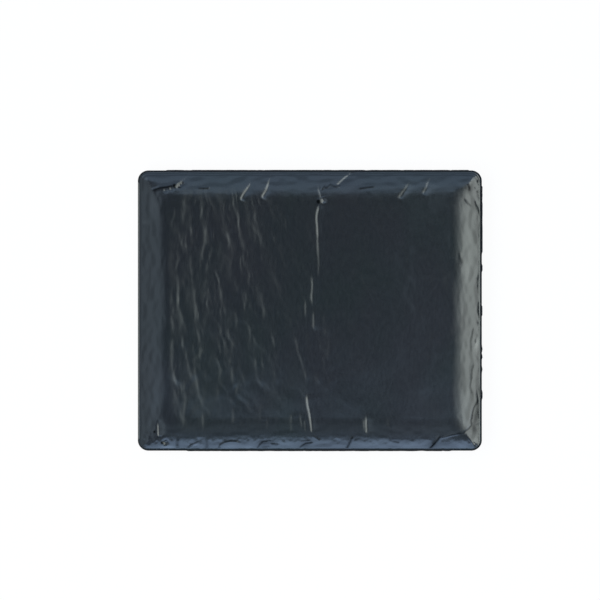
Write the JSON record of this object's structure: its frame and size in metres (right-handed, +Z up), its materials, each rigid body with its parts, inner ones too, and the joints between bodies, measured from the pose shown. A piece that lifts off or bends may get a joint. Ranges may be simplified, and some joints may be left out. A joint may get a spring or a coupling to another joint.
{
  "type": "serving board",
  "caption": "Rectangular slate-look melamine serving board with a low raised rim, a hollow drafted skirt and push-in silicone feet.",
  "frame": {"origin": "on the table under the middle of the board", "axes": "+X along the long side, +Y towards the back long side, +Z up out of the serving floor"},
  "size_m": [0.325, 0.265, 0.0165],
  "materials": {
    "melamine": "satin, moulded slate texture",
    "silicone": "matte"
  },
  "bodies": {
    "root": {"board": "melamine", "foot_front_left": "silicone", "foot_front_right": "silicone", "foot_back_left": "silicone", "foot_back_right": "silicone"}
  },
  "joints": []
}
